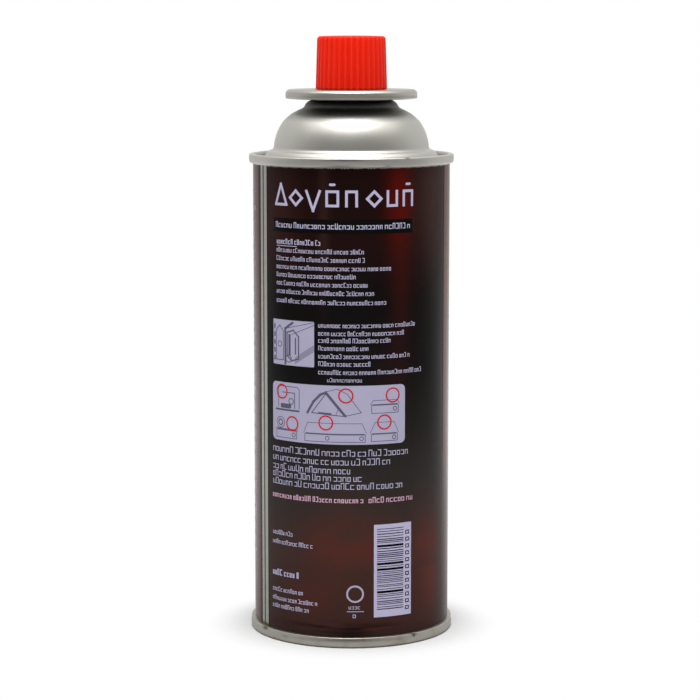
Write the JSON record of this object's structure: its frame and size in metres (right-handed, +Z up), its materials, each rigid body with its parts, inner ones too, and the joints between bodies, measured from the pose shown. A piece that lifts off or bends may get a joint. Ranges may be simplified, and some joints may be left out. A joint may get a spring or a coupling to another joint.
{
  "type": "fuel canister",
  "caption": "Tall stove fuel canister with seamed ends, a domed shoulder, a notched collar round a spring-loaded valve and a ribbed press-on cap.",
  "frame": {"origin": "centre of the circle that the canister stands on, on its axis", "axes": "+Z up along the axis of the canister; the printed front of the label faces -Y and the notch of the collar is on the +Y side"},
  "size_m": [0.068, 0.068, 0.1983],
  "materials": {
    "can": "printed tinplate under gloss varnish, in dark red and black, with bare bright ends",
    "valve_cup": "satin tinplate",
    "gasket_sleeve": "matt",
    "housing": "matt",
    "stem_gasket": "matt",
    "spring": "drawn wire",
    "stem": "turned",
    "cap": "satin moulded"
  },
  "bodies": {
    "canister": {"can": "can", "valve_cup": "valve_cup", "cup_gasket": "gasket_sleeve", "valve_housing": "housing", "stem_gasket": "stem_gasket", "valve_spring": "spring"},
    "stem": {"valve_stem": "stem"},
    "cap": {"cap": "cap"}
  },
  "joints": [
    {"name": "cap_lift", "type": "slide", "parent": "canister", "child": "cap", "axis": [0, 0, 1], "range_m": [0, 0.025]},
    {"name": "stem_press", "type": "slide", "parent": "canister", "child": "stem", "axis": [0, 0, -1], "range_m": [0, 0.002], "stiffness_N_per_m": 1200, "springref_m": -0.006, "deforming": ["valve_spring"]}
  ]
}
